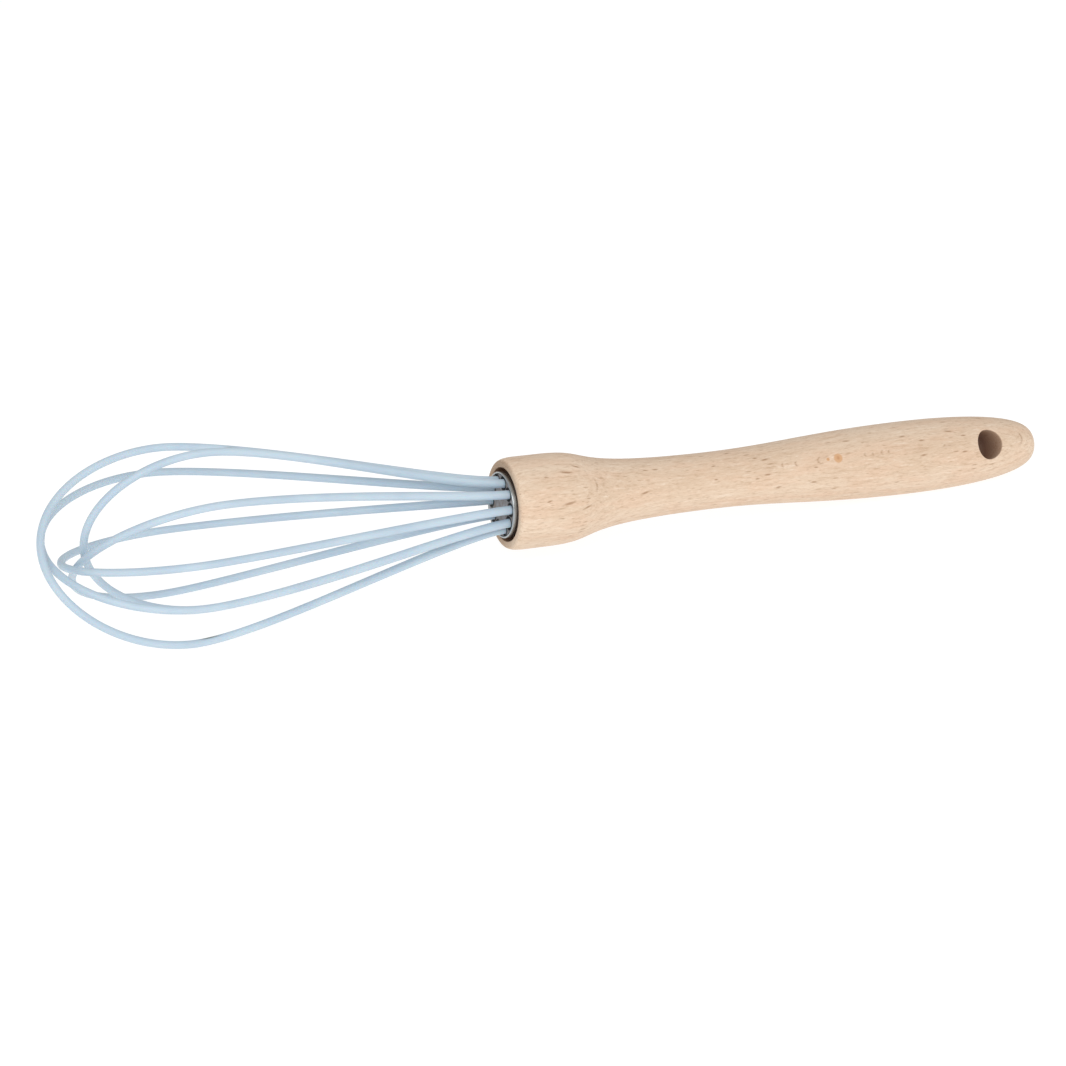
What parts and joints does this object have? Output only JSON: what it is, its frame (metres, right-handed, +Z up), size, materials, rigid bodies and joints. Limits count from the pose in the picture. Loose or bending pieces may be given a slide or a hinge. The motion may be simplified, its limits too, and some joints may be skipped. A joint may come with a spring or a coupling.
{
  "type": "silicone whisk",
  "caption": "Hand whisk lying at rest: balloon of crossed silicone-sleeved wire loops set in a steel cup in a turned wooden handle with a hang hole, for beating food.",
  "frame": {"origin": "middle of the bounding box on the floor that the whisk lies on", "axes": "+X along the whisk from the head to the butt of the handle, +Z up, -Y towards the side that the picture is taken from"},
  "size_m": [0.2812, 0.044, 0.0478],
  "materials": {
    "beech_wood": "bare sanded beech",
    "cup_steel": "satin",
    "disc_steel": "dull",
    "resin": "cast",
    "silicone": "matte moulded",
    "wire_steel": "drawn"
  },
  "bodies": {
    "root": {"wooden_handle": "beech_wood", "ferrule_cup": "cup_steel", "wire_guide": "disc_steel", "resin_plug": "resin", "silicone_loop_1": "silicone", "silicone_loop_2": "silicone", "silicone_loop_3": "silicone", "silicone_loop_4": "silicone", "silicone_loop_5": "silicone", "steel_wire_1": "wire_steel", "steel_wire_2": "wire_steel", "steel_wire_3": "wire_steel", "steel_wire_4": "wire_steel", "steel_wire_5": "wire_steel"}
  },
  "joints": []
}
